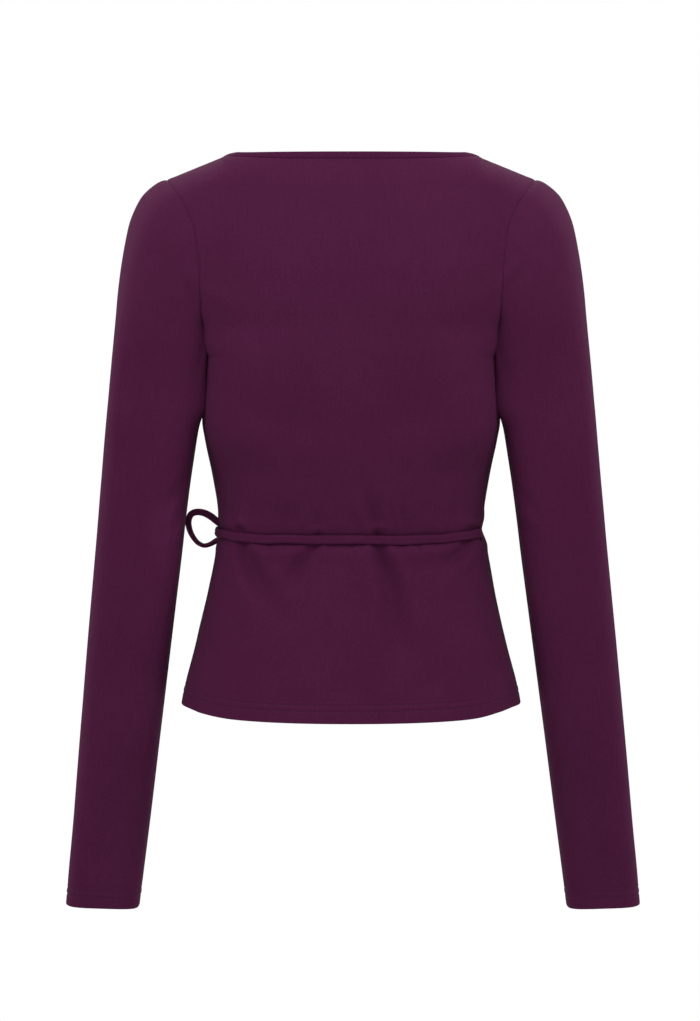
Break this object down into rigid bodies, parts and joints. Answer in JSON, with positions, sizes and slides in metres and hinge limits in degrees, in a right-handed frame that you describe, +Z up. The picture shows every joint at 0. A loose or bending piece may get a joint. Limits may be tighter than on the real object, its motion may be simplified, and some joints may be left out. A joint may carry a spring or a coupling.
{
  "type": "wrap top",
  "caption": "Long-sleeved jersey wrap top with a wide V neck, crossing fronts, and a waist tie that passes through a side slit and across the back to a bow at the side.",
  "frame": {"origin": "midway between the shoulders, at the height of the neck's corners, where the wearer carries the garment", "axes": "+Z up; the garment's front faces -Y and its back faces +Y; the wearer's left is +X"},
  "size_m": [0.5445, 0.226, 0.7099],
  "materials": {
    "body_jersey": "matte fine-knit jersey, deep plum",
    "band_jersey": "matte fine-knit jersey, folded double, deep plum",
    "tie_jersey": "matte fine-knit jersey, sewn as a flat tube, deep plum"
  },
  "bodies": {
    "root": {"back": "body_jersey", "front_left": "body_jersey", "front_right": "body_jersey", "sleeve_left": "body_jersey", "sleeve_right": "body_jersey", "neck_band_back": "band_jersey", "neck_band_left": "band_jersey", "neck_band_right": "band_jersey", "tie_long": "tie_jersey", "tie_short": "tie_jersey", "bow_knot": "tie_jersey", "bow_loop_out": "tie_jersey", "bow_loop_forward": "tie_jersey", "bow_tail_a": "tie_jersey", "bow_tail_b": "tie_jersey"}
  },
  "joints": []
}
